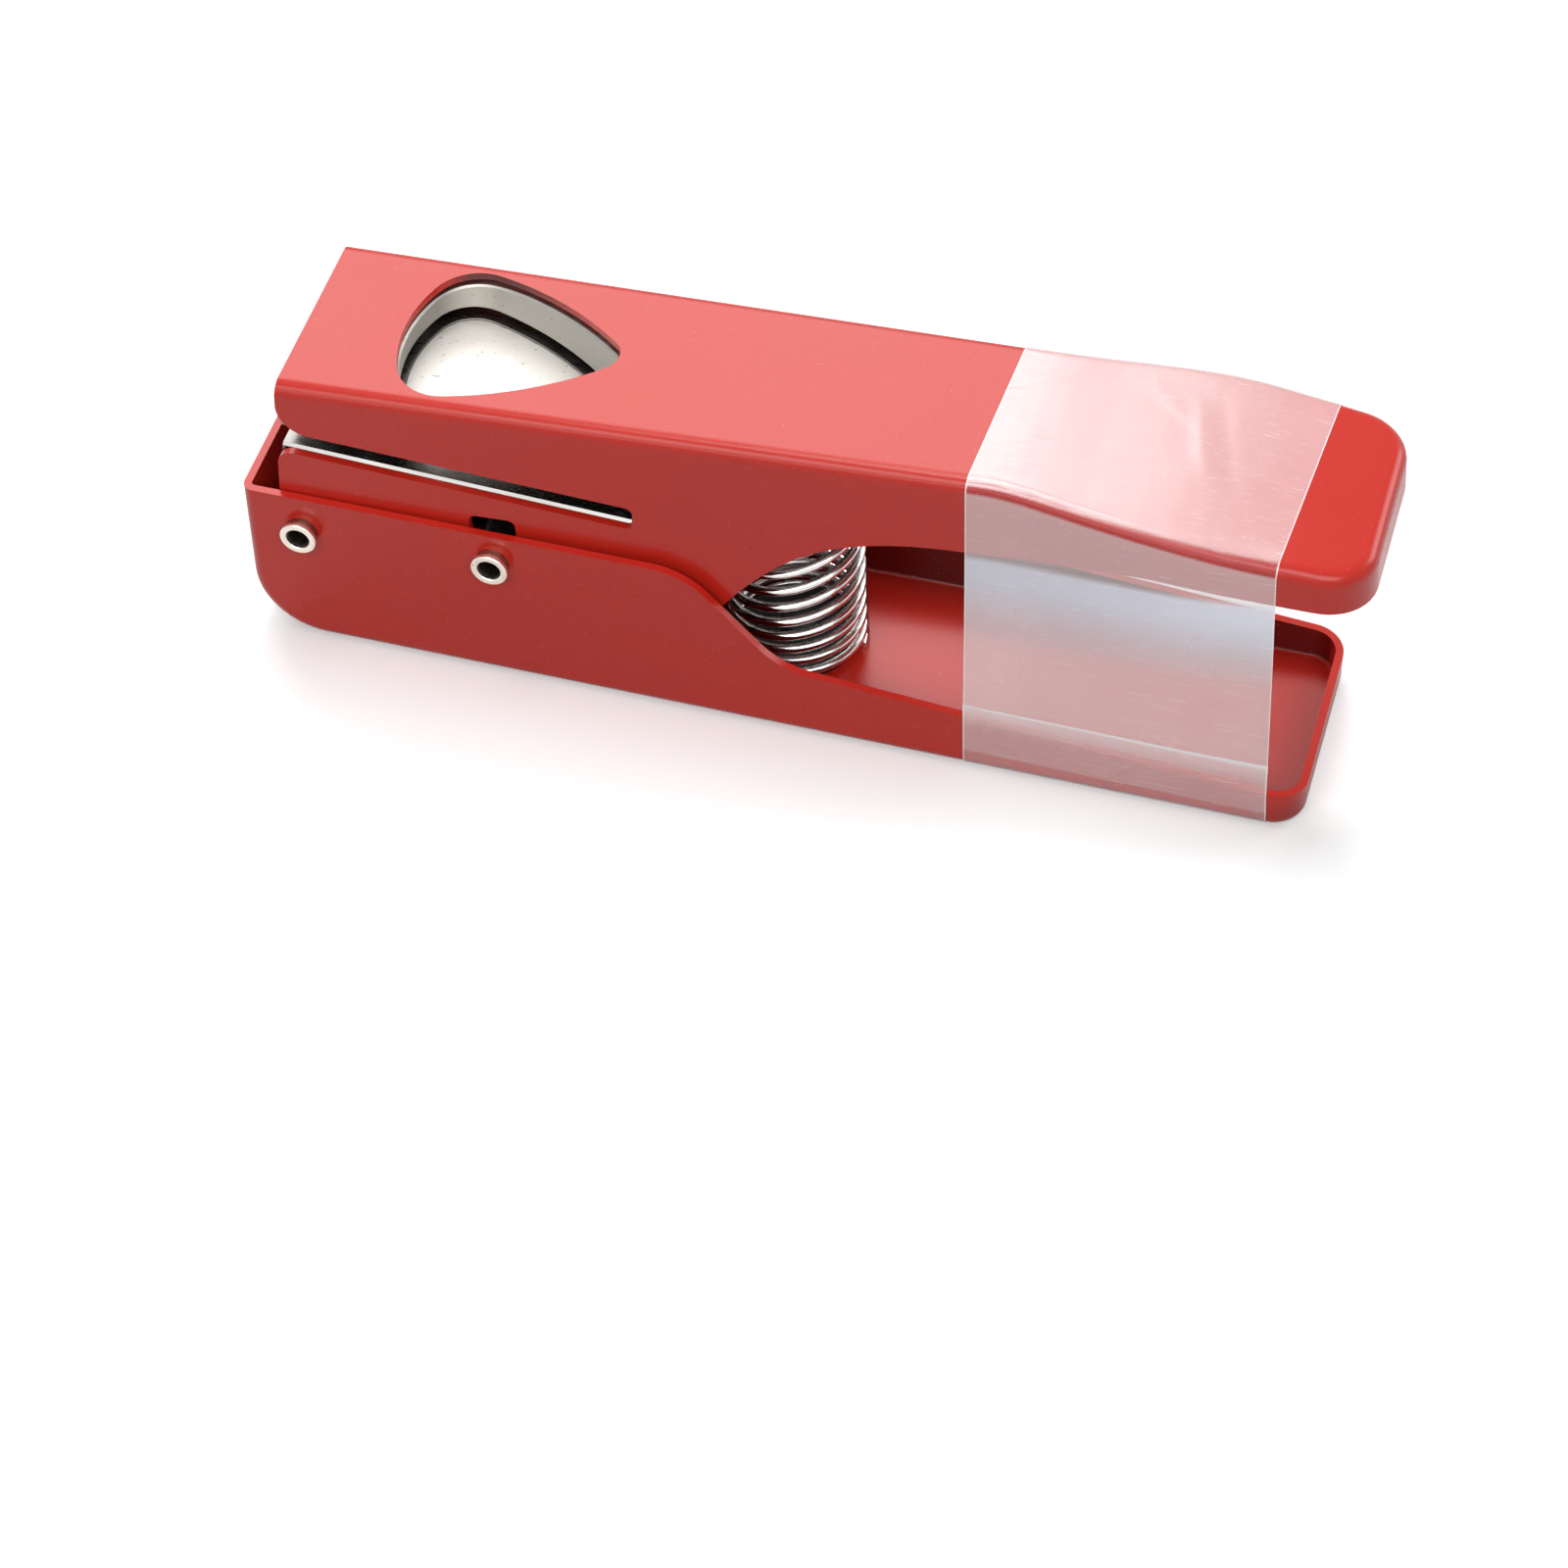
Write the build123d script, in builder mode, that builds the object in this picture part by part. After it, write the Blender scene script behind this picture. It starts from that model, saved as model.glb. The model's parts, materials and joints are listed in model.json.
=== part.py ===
"""Guitar pick punch: a hinged handle drives a die set down over a fixed punch.

X runs from the hinge end to the nose, Y across, Z up. The origin is on the
surface that the punch stands on, in the middle of its length and width. The
handle is drawn half pressed, as its film band holds it.
"""
from build123d import *
from math import cos, pi, radians, sin, sqrt, tan
import os

os.makedirs("parts", exist_ok=True)

# Overall sizes
overall_length = 169.0
sheet = 1.2
overrun = 4.0
seat_gap = 0.05
wall_gap = 0.3

# Tray
tray_length = 162.7
tray_play = 0.3
tray_rear_height = 29.0
tray_heel_radius = 11.0
tray_corner_radius = 5.0
tray_bend_radius = 1.8
step_top_x = 68.8
step_foot_x = 83.4
step_foot_height = 12.9
lip_height = 6.4
step_radius = 12.0

# Handle hinge and tilt
pivot_setback = 9.1
pivot_height = 22.4
handle_tilt = 3.23
slot_tilt = 6.3
press_angle = 8.5
open_angle = 12.5

# Handle, along and square to its top
handle_front = 161.0
handle_top = 27.9
handle_taper = 2.3
nose_flare = 6.5
handle_edge_radius = 2.2
handle_corner_radius = 8.0
nose_start = 103.9
handle_rear_reach = 8.0
nose_drop = 6.3
wall_depth = 12.0
wall_heel_radius = 8.0

# Stations from the waist to the nose: shares of the nose's length, flare and drop
nose_station_shares = [
    (0.0, 0.0, 0.0),
    (0.24, 0.4, 0.175),
    (0.413, 0.79, 0.32),
    (0.589, 1.0, 0.5),
    (0.797, 0.85, 0.78),
]
nose_tip_flare_share = 0.6
tip_drop_share = 0.05

# Lower edge of the handle's walls: shares of the handle's front reach and of its top height
edge_foot_share = (0.366, -0.43)
edge_climb_shares = [(0.404, -0.147), (0.486, 0.308), (0.64, 0.509)]
edge_nose_shares = [(0.73, 0.566), (0.80, 0.617), (0.87, 0.6), (1.0, 0.516)]

# Sheet slot and die set, along and square to the slot
die_setback = 28.9
die_height = 11.6
die_rear = 31.2
slot_height = 3.9
slot_end = 23.4
slot_end_radius = 1.2
slot_sill = 0.18
slot_lintel = 0.1
lintel_corner_radius = 5.0
sill_corner_radius = 2.5
guide_thickness = 3.25
guide_edge_break = 0.4
die_thickness = 3.2
die_gap = 1.7
die_side_play = 0.27
die_side_wall = 0.68
chute_rear = 22.6
chute_front = 23.0
chute_land = 3.4
chute_relief = 0.9
chute_rim_break = 0.3
throat_length = 5.0

# Pick outline, sharp corners before they are rounded
pick_length = 34.8
pick_width = 28.5
shoulder_share = 0.141
shoulder_half_share = 0.5
side_mid_share = 0.566
side_mid_half_share = 0.361
pick_origin_share = 0.478
shoulder_radius = 7.5
tip_radius = 3.6
chute_margin = 0.35
punch_margin = 1.1
punch_clearance = 0.06

# Punch
punch_rise = 6.7
punch_head_height = 13.3
carrier_length = 16.0
carrier_width = 13.0
carrier_sole = 5.2
carrier_corner_radius = 1.5
cross_hole_play = 0.45
cross_hole_shift = 0.4

# Pins
pin_radius = 2.5
pin_bore_radius = 1.8
pin_rim_radius = 2.85
pin_rim_length = 0.7
pin_proud = 2.0
pin_clearance = 0.05
drive_clearance = 0.15
drive_pin_reach = 30.2
drive_pin_rise = 1.4
sleeve_wall = 0.8
pin_window_width = 7.2
pin_window_radius = 1.2
window_play = 1.0
window_stop_play = 0.36

# Screws
screw_radius = 1.5
screw_head_radius = 2.7
screw_head_height = 1.6
screw_clearance = 0.05
die_screw_rear = 19.0
die_screw_front = 19.6
die_screw_inset = 4.25
throat_screw_offset = 8.0
punch_screw_setback = 4.6
punch_screw_offset = 3.4
screw_bite = 3.2
throat_screw_bite = 2.6
drive_socket_radius = 0.9
drive_socket_depth = 0.9
drive_socket_sides = 6
washer_radius = 2.9

# Return spring
spring_gap = 4.1
spring_radius = 10.05
spring_wire = 1.5
spring_turns = 17
spring_end_share = 0.22
spring_end_gap = 0.05
spring_bow = 0.7
spring_lean_share = 0.22
boss_height = 3.0
boss_gap = 0.5
boss_chamfer = 0.6
rivet_radius = 1.6
rivet_head_radius = 2.8
rivet_head_height = 0.9

# Film band
film = 0.15
film_gap = 0.3
film_foot_gap = 0.1
film_tail_height = 13.5
film_tail_gap = 0.05
film_bend_radius = 2.0

# Places worked out from the sizes
seated = (Align.CENTER, Align.CENTER, Align.MIN)
rear = -overall_length / 2
handle_rear_width = pick_width + 2 * (die_side_wall + die_side_play + sheet)
handle_waist_width = handle_rear_width - handle_taper
handle_nose_width = handle_waist_width + nose_flare
tray_width = handle_rear_width + 2 * (sheet + tray_play)
tray_floor = film + film_foot_gap
floor_top = tray_floor + sheet
pivot_x = rear + pivot_setback
pivot_z = tray_floor + pivot_height
drive_x = pivot_x + drive_pin_reach
drive_z = pivot_z + drive_pin_rise
spring_x = pivot_x + die_setback + slot_end + throat_length + spring_gap + spring_radius + spring_wire / 2


def tilted_plane(point, angle, across=False):
    """Plane whose x runs forward and up at an angle; its y is up, or its z is up if laid across."""
    forward = (cos(radians(angle)), 0, sin(radians(angle)))
    upward = (-sin(radians(angle)), 0, cos(radians(angle)))
    return Plane(origin=point, x_dir=forward, z_dir=upward if across else (0, -1, 0))


side_plane = tilted_plane((pivot_x, 0, pivot_z), handle_tilt)
top_point = side_plane.from_local_coords((0, handle_top, 0))
top_plane = tilted_plane(top_point, handle_tilt, across=True)
die_point = side_plane.from_local_coords((die_setback, die_height, 0))
die_side = tilted_plane(die_point, handle_tilt - slot_tilt)
die_plane = tilted_plane(die_point, handle_tilt - slot_tilt, across=True)
handle_up = Axis(origin=(0, 0, 0), direction=tuple(side_plane.y_dir))
die_up = Axis(origin=(0, 0, 0), direction=tuple(die_plane.z_dir))
pin_in_handle = side_plane.to_local_coords(Vector(drive_x, 0, drive_z))
pin_in_die = die_side.to_local_coords(Vector(drive_x, 0, drive_z))


def pick_outline(plane, margin):
    """Pick-shaped face, drawn in by a margin all round."""
    back_x = -pick_length * pick_origin_share
    tip_x = back_x + pick_length
    shoulder_x = back_x + pick_length * shoulder_share
    shoulder_y = pick_width * shoulder_half_share
    side_x = back_x + pick_length * side_mid_share
    side_y = pick_width * side_mid_half_share
    with BuildSketch(plane) as outline:
        with BuildLine():
            ThreePointArc((shoulder_x, -shoulder_y), (back_x, 0), (shoulder_x, shoulder_y))
            ThreePointArc((shoulder_x, shoulder_y), (side_x, side_y), (tip_x, 0))
            ThreePointArc((tip_x, 0), (side_x, -side_y), (shoulder_x, -shoulder_y))
        make_face()
        fillet(outline.vertices().sort_by(Axis.X)[-1], radius=tip_radius)
        fillet(outline.vertices().sort_by(Axis.Y)[0], radius=shoulder_radius)
        fillet(outline.vertices().sort_by(Axis.Y)[-1], radius=shoulder_radius)
        offset(amount=-margin)
    return outline.sketch


def tray_blank(inset, top):
    """Solid blank of the tray, drawn in by an inset, up to a height."""
    with BuildPart() as blank:
        with BuildSketch(Plane.XZ) as side:
            with BuildLine():
                Polyline(
                    (rear + inset, top),
                    (rear + inset, tray_floor + inset),
                    (rear + tray_length - inset, tray_floor + inset),
                    (rear + tray_length - inset, top),
                    close=True,
                )
            make_face()
            heel = side.vertices().group_by(Axis.Y)[0].sort_by(Axis.X)[0]
            fillet(heel, radius=tray_heel_radius - inset)
        extrude(amount=tray_width / 2 - inset, both=True)
        front_edges = blank.edges().filter_by(Axis.Z).group_by(Axis.X)[-1]
        fillet(front_edges, radius=tray_corner_radius - inset)
        bottom = blank.faces().filter_by(Axis.Z).sort_by(Axis.Z)[0]
        heel_face = blank.faces().filter_by(GeomType.CYLINDER).sort_by(Axis.X)[0]
        rear_face = blank.faces().filter_by(Axis.X).sort_by(Axis.X)[0]
        side_edges = [
            edge
            for face in (bottom, heel_face, rear_face)
            for edge in face.edges()
            if abs(abs(edge.center().Y) - (tray_width / 2 - inset)) < seat_gap
        ]
        front_loop = [
            edge
            for edge in bottom.edges()
            if edge.center().X > rear + tray_length - tray_corner_radius - seat_gap
            and abs(edge.center().Y) < tray_width / 2 - inset - seat_gap
        ]
        fillet(side_edges + front_loop, radius=tray_bend_radius - inset)
    return blank.part


with BuildPart() as base_tray:
    add(tray_blank(0, tray_floor + tray_rear_height))
    with BuildSketch(Plane.XZ) as profile:
        with BuildLine():
            Polyline(
                (rear, tray_floor),
                (rear + tray_length, tray_floor),
                (rear + tray_length, tray_floor + lip_height),
                (rear + step_foot_x, tray_floor + step_foot_height),
                (rear + step_top_x, tray_floor + tray_rear_height),
                (rear, tray_floor + tray_rear_height),
                close=True,
            )
        make_face()
        step_corners = [
            corner
            for corner in profile.vertices()
            if rear + overrun < corner.X < rear + tray_length - overrun
        ]
        fillet(step_corners, radius=step_radius)
    extrude(amount=tray_width, both=True, mode=Mode.INTERSECT)
    add(tray_blank(sheet, tray_floor + tray_rear_height + overrun), mode=Mode.SUBTRACT)
    with BuildSketch(Plane.XZ):
        with Locations((pivot_x, pivot_z), (drive_x, drive_z)):
            Circle(pin_radius + pin_clearance)
    extrude(amount=tray_width, both=True, mode=Mode.SUBTRACT)
    with Locations((spring_x, 0, tray_floor)):
        Cylinder(rivet_radius + seat_gap, sheet, align=seated, mode=Mode.SUBTRACT)
base_tray.part.label = "base_tray"
export_step(base_tray.part, "parts/base_tray.step")


# Handle: outline stations from the waist to the nose, along, half width and height
nose_length = handle_front - nose_start
flare = (handle_nose_width - handle_waist_width) / 2
nose_stations = [
    (
        nose_start + along * nose_length,
        handle_waist_width / 2 + wide * flare,
        handle_top - down * nose_drop,
    )
    for along, wide, down in nose_station_shares
]
waist_slope = (handle_waist_width - handle_rear_width) / 2 / nose_start
tip_half = handle_waist_width / 2 + nose_tip_flare_share * flare


def in_handle(along, up):
    """Point of the die set's own axes, in the handle's axes."""
    point = side_plane.to_local_coords(die_side.from_local_coords((along, up, 0)))
    return (point.X, point.Y)


def handle_blank(inset, behind):
    """Solid blank of the handle, drawn in by an inset, reaching some way behind the hinge."""
    with BuildPart() as blank:
        with BuildSketch(top_plane) as plan:
            with BuildLine():
                waist = (nose_start, handle_waist_width / 2 - inset)
                Line((-behind, waist[1] - waist_slope * (nose_start + behind)), waist)
                rim = Spline(
                    [(along, half - inset) for along, half, height in nose_stations],
                    tangents=[(1, waist_slope), (nose_length, -flare)],
                )
                Polyline(rim @ 1, (handle_front - inset, tip_half - inset), (handle_front - inset, 0))
                Line((-behind, 0), (-behind, waist[1] - waist_slope * (nose_start + behind)))
                mirror(about=Plane.XZ)
            make_face()
            corners = plan.vertices().group_by(Axis.X)[-1].filter_by(lambda v: abs(v.Y) > overrun)
            fillet(corners, radius=handle_corner_radius - inset)
        extrude(amount=-(handle_top + wall_depth + overrun))
        with BuildSketch(side_plane):
            with BuildLine():
                Line((-behind, handle_top - inset), (nose_start, handle_top - inset))
                crown = Spline(
                    [(along, height - inset) for along, half, height in nose_stations],
                    tangents=[(1, 0), (nose_length, -nose_drop)],
                )
                tip = (handle_front, handle_top - nose_drop * (1 + tip_drop_share) - inset)
                Polyline(
                    crown @ 1,
                    tip,
                    (handle_front, -wall_depth - overrun),
                    (-behind, -wall_depth - overrun),
                    (-behind, handle_top - inset),
                )
            make_face()
        extrude(amount=handle_nose_width, both=True, mode=Mode.INTERSECT)
        top_faces = [face for face in blank.faces() if face.normal_at().dot(top_plane.z_dir) > 0.5]
        top_edges = [edge for face in top_faces for edge in face.edges()]
        rim_edges = [
            edge
            for edge in top_edges
            if sum(edge.is_same(other) for other in top_edges) == 1
            and side_plane.to_local_coords(edge.center()).X > seat_gap - behind
        ]
        fillet(rim_edges, radius=handle_edge_radius - inset)
    return blank.part


def handle_wall_profile():
    """Side view of the handle's walls, with the sheet slot, hinge hole and drive pin window."""
    rear_top = in_handle(-die_rear, handle_top)
    foot_depth = wall_depth + die_height + die_rear * sin(radians(slot_tilt))
    rear_foot = in_handle(-die_rear, -foot_depth / cos(radians(slot_tilt)))
    foot = (handle_front * edge_foot_share[0], handle_top * edge_foot_share[1])
    climb = [(handle_front * along, handle_top * up) for along, up in edge_climb_shares]
    nose = [(handle_front * along, handle_top * up) for along, up in edge_nose_shares]
    nose_end = (handle_front + overrun, nose[-1][1])
    sill_corner = in_handle(-die_rear, -slot_sill)
    lintel_corner = in_handle(-die_rear, slot_height + slot_lintel)
    slot_ends = [in_handle(slot_end, -slot_sill), in_handle(slot_end, slot_height + slot_lintel)]
    slot_mouth = [
        in_handle(-die_rear - overrun, slot_height + slot_lintel),
        in_handle(-die_rear - overrun, -slot_sill),
    ]
    window_low = pin_in_handle.Y - drive_pin_reach * sin(radians(open_angle)) - pin_radius - window_play
    pin_climb = drive_pin_reach * sin(radians(press_angle))
    window_high = pin_in_handle.Y + pin_climb + pin_radius + window_stop_play
    with BuildSketch(side_plane) as profile:
        with BuildLine():
            Polyline(nose[-1], nose_end, (nose_end[0], rear_top[1]), rear_top, rear_foot, foot, climb[0])
            hollow = Spline(climb, tangents=[(climb[0][0] - foot[0], climb[0][1] - foot[1]), (1, 0)])
            Spline([hollow @ 1] + nose, tangents=[(1, 0), (nose_length, -nose_drop)])
        make_face()
        with BuildLine():
            Polyline(slot_mouth + slot_ends, close=True)
        make_face(mode=Mode.SUBTRACT)
        fillet(profile.vertices().sort_by_distance(rear_foot)[0], radius=wall_heel_radius)
        fillet(profile.vertices().sort_by_distance(sill_corner)[0], radius=sill_corner_radius)
        fillet(profile.vertices().sort_by_distance(lintel_corner)[0], radius=lintel_corner_radius)
        for corner in slot_ends:
            fillet(profile.vertices().sort_by_distance(corner)[0], radius=slot_end_radius)
        Circle(pin_radius + pin_clearance, mode=Mode.SUBTRACT)
        with Locations((pin_in_handle.X, (window_high + window_low) / 2)):
            RectangleRounded(
                pin_window_width,
                window_high - window_low,
                pin_window_radius,
                mode=Mode.SUBTRACT,
            )
    return profile.sketch


top_under = handle_top - sheet
chute_floor = slot_height + die_thickness + die_gap
window_up = (handle_top - die_height) / cos(radians(slot_tilt))
window_plane = tilted_plane(die_side.from_local_coords((0, window_up, 0)), handle_tilt, across=True)

with BuildPart() as handle_shell:
    add(handle_blank(0, handle_rear_reach))
    add(handle_blank(sheet, handle_rear_reach + overrun), mode=Mode.SUBTRACT)
    extrude(handle_wall_profile(), amount=handle_nose_width, both=True, mode=Mode.INTERSECT)
    extrude(pick_outline(window_plane, 0), amount=overrun, both=True, mode=Mode.SUBTRACT)
handle_shell.part.label = "handle_shell"
export_step(handle_shell.part, "parts/handle_shell.step")


# Die set: bored wedge under the window, cutting plate, guide plate and the block between them
plate_rear = -(die_rear - wall_gap)
plate_front = slot_end + throat_length
plate_middle = (plate_front + plate_rear) / 2
die_screw_offset = pick_width / 2 - die_screw_inset
throat_screw_x = slot_end + throat_length / 2
die_screws_at = [
    (along, across)
    for along in (-die_screw_rear, die_screw_front)
    for across in (-die_screw_offset, die_screw_offset)
]
throat_screws_at = [(throat_screw_x, -throat_screw_offset), (throat_screw_x, throat_screw_offset)]
punch_screws_at = [(-punch_screw_setback, -punch_screw_offset), (-punch_screw_setback, punch_screw_offset)]


def between_walls():
    """Tapered room between the handle's walls, which the die set fills."""
    half = handle_rear_width / 2 - sheet - die_side_play
    with BuildPart() as room:
        with BuildSketch(top_plane):
            with BuildLine():
                Polyline(
                    (-nose_start, half - waist_slope * nose_start),
                    (nose_start, half + waist_slope * nose_start),
                    (nose_start, -half - waist_slope * nose_start),
                    (-nose_start, -half + waist_slope * nose_start),
                    close=True,
                )
            make_face()
        extrude(amount=-(handle_top + wall_depth))
    return room.part


def die_level(height, places=((0, 0),)):
    """Locations at a height over the slot's floor, at places given in the die set's axes."""
    return Locations(*[die_plane.offset(height) * Location((along, across)) for along, across in places])


def countersunk(length, clearance=0, mode=Mode.ADD):
    """Countersunk screw pointing up, its head first, or the hole for it."""
    Cone(
        screw_head_radius + clearance,
        screw_radius + clearance,
        screw_head_height,
        align=seated,
        mode=mode,
    )
    Cylinder(screw_radius + clearance, length + clearance, align=seated, mode=mode)


def drive_socket():
    """Six-sided socket in the head of a screw that points up."""
    with BuildSketch(mode=Mode.PRIVATE) as socket:
        RegularPolygon(drive_socket_radius, drive_socket_sides)
    return extrude(socket.sketch, amount=drive_socket_depth, mode=Mode.PRIVATE)


with BuildPart() as chute_block:
    rear_low = in_handle(-chute_rear, chute_floor)
    front_low = in_handle(chute_front, chute_floor)
    with BuildSketch(side_plane):
        with BuildLine():
            Polyline(
                rear_low,
                front_low,
                (front_low[0], top_under - seat_gap),
                (rear_low[0], top_under - seat_gap),
                close=True,
            )
        make_face()
    extrude(amount=handle_rear_width / 2, both=True)
    add(between_walls(), mode=Mode.INTERSECT)
    top_sides = chute_block.faces().sort_by(handle_up)[-1].edges().sort_by(Axis.Y)
    chamfer([top_sides[0], top_sides[-1]], length=handle_edge_radius - sheet)
    with BuildSketch(side_plane):
        with Locations(((rear_low[0] + front_low[0]) / 2, top_under - seat_gap)):
            Rectangle(front_low[0] - rear_low[0] - 2 * chute_land, 2 * chute_relief)
    extrude(amount=handle_rear_width / 2, both=True, mode=Mode.SUBTRACT)
    extrude(pick_outline(die_plane, chute_margin), amount=handle_top, mode=Mode.SUBTRACT)
    relief_floor = chute_block.faces().filter_by(handle_up).sort_by(handle_up)[-3]
    chamfer(relief_floor.inner_wires()[0].edges(), length=chute_rim_break)
    with die_level(chute_floor, die_screws_at):
        Cylinder(
            screw_radius + screw_clearance,
            screw_bite + screw_clearance,
            align=seated,
            mode=Mode.SUBTRACT,
        )
chute_block.part.label = "chute_block"
export_step(chute_block.part, "parts/chute_block.step")

with BuildPart() as die_plate:
    with die_level(slot_height, [(plate_middle, 0)]):
        Box(plate_front - plate_rear, handle_rear_width, die_thickness, align=seated)
    add(between_walls(), mode=Mode.INTERSECT)
    die_bore = pick_outline(die_plane.offset(slot_height), punch_margin - punch_clearance)
    extrude(die_bore, amount=die_thickness, mode=Mode.SUBTRACT)
    with die_level(slot_height, die_screws_at):
        countersunk(die_thickness, screw_clearance, Mode.SUBTRACT)
    with die_level(slot_height, throat_screws_at):
        Cylinder(
            screw_radius + screw_clearance,
            throat_screw_bite + screw_clearance,
            align=seated,
            mode=Mode.SUBTRACT,
        )
die_plate.part.label = "die_plate"
export_step(die_plate.part, "parts/die_plate.step")

with BuildPart() as guide_plate:
    with die_level(-guide_thickness, [(plate_middle, 0)]):
        Box(plate_front - plate_rear, handle_rear_width, guide_thickness, align=seated)
    add(between_walls(), mode=Mode.INTERSECT)
    top_sides = guide_plate.faces().sort_by(die_up)[-1].edges().sort_by(Axis.Y)
    chamfer([top_sides[0], top_sides[-1]], length=guide_edge_break)
    guide_bore = pick_outline(die_plane.offset(-guide_thickness), punch_margin - punch_clearance)
    extrude(guide_bore, amount=guide_thickness, mode=Mode.SUBTRACT)
    with die_level(-guide_thickness, throat_screws_at):
        countersunk(guide_thickness, screw_clearance, Mode.SUBTRACT)
guide_plate.part.label = "guide_plate"
export_step(guide_plate.part, "parts/guide_plate.step")

with BuildPart() as throat_block:
    with die_level(0, [(throat_screw_x, 0)]):
        Box(throat_length, handle_rear_width, slot_height, align=seated)
    add(between_walls(), mode=Mode.INTERSECT)
    with die_level(0, throat_screws_at):
        Cylinder(screw_radius + screw_clearance, slot_height, align=seated, mode=Mode.SUBTRACT)
throat_block.part.label = "throat_block"
export_step(throat_block.part, "parts/throat_block.step")

with BuildPart() as die_spacers:
    with die_level(slot_height + die_thickness, die_screws_at):
        Cylinder(washer_radius, die_gap, align=seated)
        Cylinder(screw_radius + screw_clearance, die_gap, align=seated, mode=Mode.SUBTRACT)
die_spacers.part.label = "die_spacers"
export_step(die_spacers.part, "parts/die_spacers.step")

with BuildPart() as die_screws:
    with die_level(slot_height, die_screws_at):
        countersunk(die_thickness + die_gap + screw_bite)
        add(drive_socket(), mode=Mode.SUBTRACT)
die_screws.part.label = "die_screws"
export_step(die_screws.part, "parts/die_screws.step")

with BuildPart() as throat_screws:
    with die_level(-guide_thickness, throat_screws_at):
        countersunk(guide_thickness + slot_height + throat_screw_bite)
        add(drive_socket(), mode=Mode.SUBTRACT)
throat_screws.part.label = "throat_screws"
export_step(throat_screws.part, "parts/throat_screws.step")


# Punch: head, the carrier under it with the cross hole, and the screws between them
head_foot = punch_rise - punch_head_height
carrier_foot = pin_in_die.Y - carrier_sole

with BuildPart() as punch_head:
    extrude(pick_outline(die_plane.offset(head_foot), punch_margin), amount=punch_head_height)
    with die_level(head_foot, punch_screws_at):
        Cylinder(
            screw_radius + screw_clearance,
            screw_bite + screw_clearance,
            align=seated,
            mode=Mode.SUBTRACT,
        )
punch_head.part.label = "punch_head"
export_step(punch_head.part, "parts/punch_head.step")

with BuildPart() as punch_carrier:
    with die_level(carrier_foot):
        Box(carrier_length, carrier_width, head_foot - carrier_foot, align=seated)
    fillet(punch_carrier.edges().filter_by(die_up), radius=carrier_corner_radius)
    with BuildSketch(die_side):
        with Locations((pin_in_die.X - cross_hole_shift, pin_in_die.Y)):
            SlotCenterToCenter(2 * cross_hole_play, 2 * (pin_radius + drive_clearance))
    extrude(amount=carrier_width, both=True, mode=Mode.SUBTRACT)
    with die_level(carrier_foot, punch_screws_at):
        Cylinder(
            screw_head_radius + screw_clearance,
            screw_head_height + screw_clearance,
            align=seated,
            mode=Mode.SUBTRACT,
        )
        Cylinder(
            screw_radius + screw_clearance,
            head_foot - carrier_foot,
            align=seated,
            mode=Mode.SUBTRACT,
        )
punch_carrier.part.label = "punch_carrier"
export_step(punch_carrier.part, "parts/punch_carrier.step")

with BuildPart() as punch_screws:
    with die_level(carrier_foot + screw_clearance, punch_screws_at):
        Cylinder(screw_head_radius, screw_head_height, align=seated)
        Cylinder(
            screw_radius,
            head_foot - carrier_foot + screw_bite - screw_clearance,
            align=seated,
        )
        add(drive_socket(), mode=Mode.SUBTRACT)
punch_screws.part.label = "punch_screws"
export_step(punch_screws.part, "parts/punch_screws.step")


# Pins and their sleeves
pin_half = tray_width / 2 + pin_proud


def rolled_pin(x, z):
    """Hollow cross pin with rolled rims, its axis at a place in the side view."""
    with BuildPart() as pin:
        with BuildSketch(Plane.XZ):
            with Locations((x, z)):
                Circle(pin_radius)
        extrude(amount=pin_half, both=True)
        for end in (-pin_half, pin_half - pin_rim_length):
            with BuildSketch(Plane.XZ.offset(end)):
                with Locations((x, z)):
                    Circle(pin_rim_radius)
            extrude(amount=pin_rim_length)
        with BuildSketch(Plane.XZ):
            with Locations((x, z)):
                Circle(pin_bore_radius)
        extrude(amount=pin_half, both=True, mode=Mode.SUBTRACT)
        mouths = pin.edges().filter_by(GeomType.CIRCLE).group_by(Axis.Y)
        fillet(mouths[0] + mouths[-1], radius=(pin_rim_radius - pin_bore_radius) / 4)
    return pin.part


def pin_sleeve(x, z, inner_end, outer_end):
    """Sleeve round a cross pin, from one place across to another."""
    with BuildPart() as sleeve:
        with BuildSketch(Plane.XZ.offset(-outer_end)):
            with Locations((x, z)):
                Circle(pin_radius + pin_clearance + sleeve_wall)
                Circle(pin_radius + pin_clearance, mode=Mode.SUBTRACT)
        extrude(amount=outer_end - inner_end)
    return sleeve.part


pivot_sleeve_half = handle_rear_width / 2 - sheet - wall_gap
drive_wall = handle_rear_width / 2 + waist_slope * pin_in_handle.X - sheet
drive_sleeve_start = carrier_width / 2 + wall_gap
drive_sleeve_end = drive_wall - wall_gap

with BuildPart() as pivot_pin:
    add(rolled_pin(pivot_x, pivot_z))
pivot_pin.part.label = "pivot_pin"
export_step(pivot_pin.part, "parts/pivot_pin.step")

with BuildPart() as drive_pin:
    add(rolled_pin(drive_x, drive_z))
drive_pin.part.label = "drive_pin"
export_step(drive_pin.part, "parts/drive_pin.step")

with BuildPart() as pivot_sleeve:
    add(pin_sleeve(pivot_x, pivot_z, -pivot_sleeve_half, pivot_sleeve_half))
pivot_sleeve.part.label = "pivot_sleeve"
export_step(pivot_sleeve.part, "parts/pivot_sleeve.step")

with BuildPart() as drive_pin_spacers:
    add(pin_sleeve(drive_x, drive_z, drive_sleeve_start, drive_sleeve_end))
    add(pin_sleeve(drive_x, drive_z, -drive_sleeve_end, -drive_sleeve_start))
drive_pin_spacers.part.label = "drive_pin_spacers"
export_step(drive_pin_spacers.part, "parts/drive_pin_spacers.step")


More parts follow.
